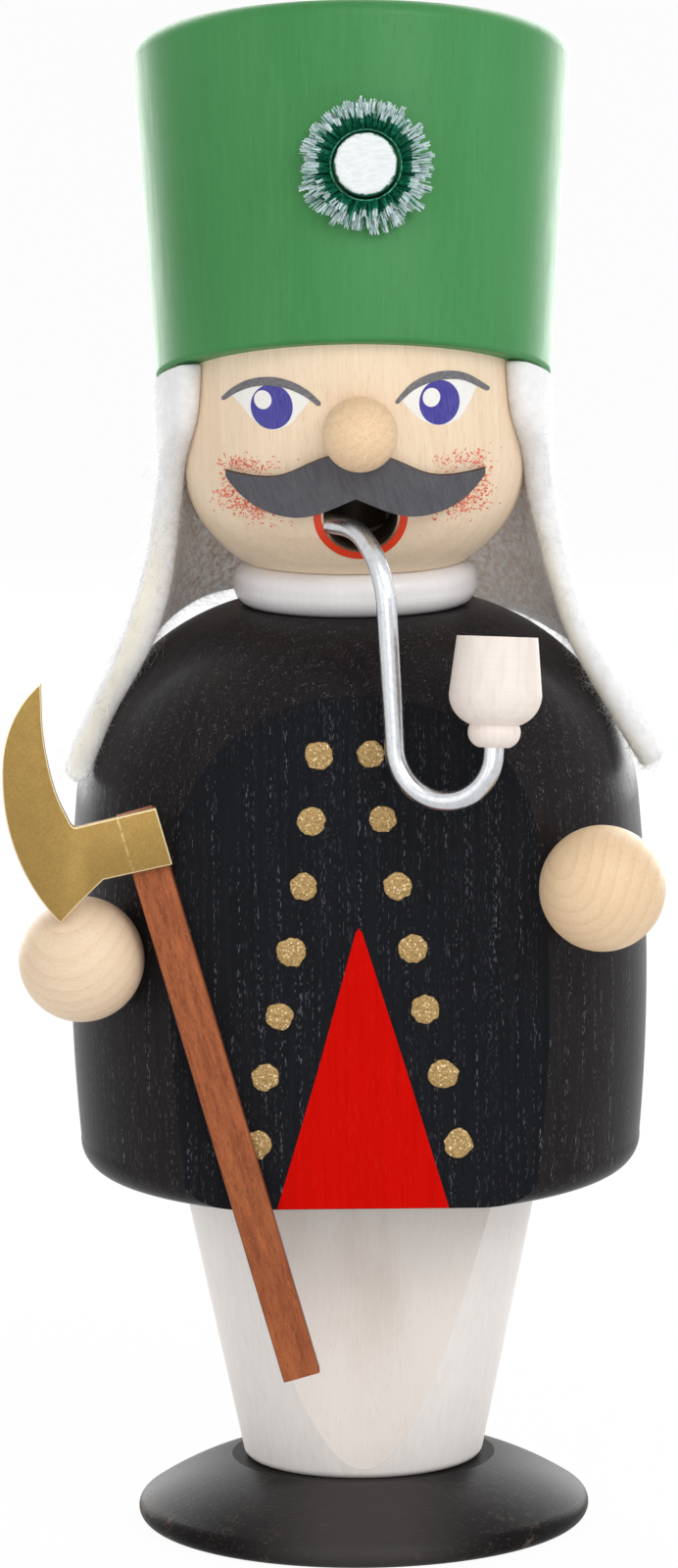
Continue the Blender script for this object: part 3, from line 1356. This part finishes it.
# Camera, lamps and stage
camera = {
    "aim": (-2.36, 0, 97.3),
    "distance": 1105,
    "lookDown": 9.4,
    "roll": -0.55,
    "lens": 195.75,
    "sensor": 36,
    "clipEnd": 50,
}


def makeCamera():
    data = bpy.data.cameras.new("camera")
    data.lens = camera["lens"]
    data.sensor_width = camera["sensor"]
    data.clip_end = camera["clipEnd"]
    turn = Euler((math.radians(90 - camera["lookDown"]), 0, 0)).to_matrix().to_4x4()
    roll = Matrix.Rotation(math.radians(camera["roll"]), 4, "Z")
    aim = Vector(camera["aim"]) * mm
    away = turn @ Vector((0, 0, camera["distance"] * mm))
    view = addObject("camera", data)
    view.matrix_world = Matrix.Translation(aim + away) @ turn @ roll
    bpy.context.scene.camera = view


lamps = [
    dict(name="key", azimuth=36, height=0.72, distance=0.9, size=(0.4, 0.4), power=3.0),
    dict(name="right", azimuth=79, height=0.3, distance=0.9, size=(0.5, 1.0), power=0.8),
    dict(name="left", azimuth=-48, height=0.36, distance=1.05, size=(0.7, 1.0), power=1.4),
    dict(name="front", azimuth=-2, height=0.3, distance=1.2, size=(0.9, 0.7), power=2.3),
    dict(name="top", azimuth=4, height=1.05, distance=0.8, size=(0.7, 0.45), power=2.0),
    dict(name="behind left", azimuth=-152, height=0.3, distance=0.8, size=(0.5, 0.8), power=6.0),
    dict(name="behind right", azimuth=152, height=0.3, distance=0.8, size=(0.5, 0.8), power=6.0),
]


def makeLamps():
    centre = Vector((0, 0, 0.1))
    for lamp in lamps:
        data = bpy.data.lights.new(lamp["name"], "AREA")
        data.shape = "RECTANGLE"
        data.size, data.size_y = lamp["size"]
        data.energy = lamp["power"]
        angle = math.radians(lamp["azimuth"])
        spot = Vector((math.sin(angle), -math.cos(angle), 0)) * lamp["distance"]
        spot.z = lamp["height"]
        turn = (spot - centre).to_track_quat("Z", "Y").to_matrix().to_4x4()
        light = addObject(lamp["name"], data)
        light.matrix_world = Matrix.Translation(spot) @ turn


stage = {"halfWidth": 12, "floorWhite": 0.96, "worldLight": 0.45}


# 1 for what the camera sees directly, in a gloss or through glass, and 0 for other light
def seenDirectly(tree):
    path = addNode(tree, "LightPath").outputs
    seen = addMath(tree, "MAXIMUM", path["Is Camera Ray"], path["Is Glossy Ray"])
    return addMath(tree, "MAXIMUM", seen, path["Is Transmission Ray"])


def makeFloor():
    bm = bmesh.new()
    bmesh.ops.create_grid(bm, x_segments=1, y_segments=1, size=stage["halfWidth"])
    mesh = toMesh("floor", bm)
    material = bpy.data.materials.new("paleFloor")
    tree = clearTree(material)
    dim = addNode(tree, "BsdfDiffuse", {"Color": (0.8, 0.8, 0.8, 1)}).outputs[0]
    white = addNode(tree, "Emission", {"Color": (1, 1, 1, 1), "Strength": 1.0}).outputs[0]
    seen = times(tree, seenDirectly(tree), stage["floorWhite"])
    mixed = addNode(tree, "MixShader", {0: seen, 1: dim, 2: white}).outputs[0]
    addNode(tree, "OutputMaterial", {"Surface": mixed})
    mesh.materials.append(material)
    floor = addObject("floor", mesh)


def makeWorld():
    world = bpy.data.worlds.new("studio")
    bpy.context.scene.world = world
    tree = clearTree(world)
    strength = addRange(tree, seenDirectly(tree), 0.0, 1.0, stage["worldLight"], 1.0)
    sky = addNode(tree, "Background", {"Color": (1, 1, 1, 1), "Strength": strength})
    addNode(tree, "OutputWorld", {"Surface": sky.outputs[0]})


makeCamera()
makeLamps()
makeFloor()
makeWorld()
bpy.context.scene.view_settings.view_transform = "Standard"
print("stage, lamps and camera made")
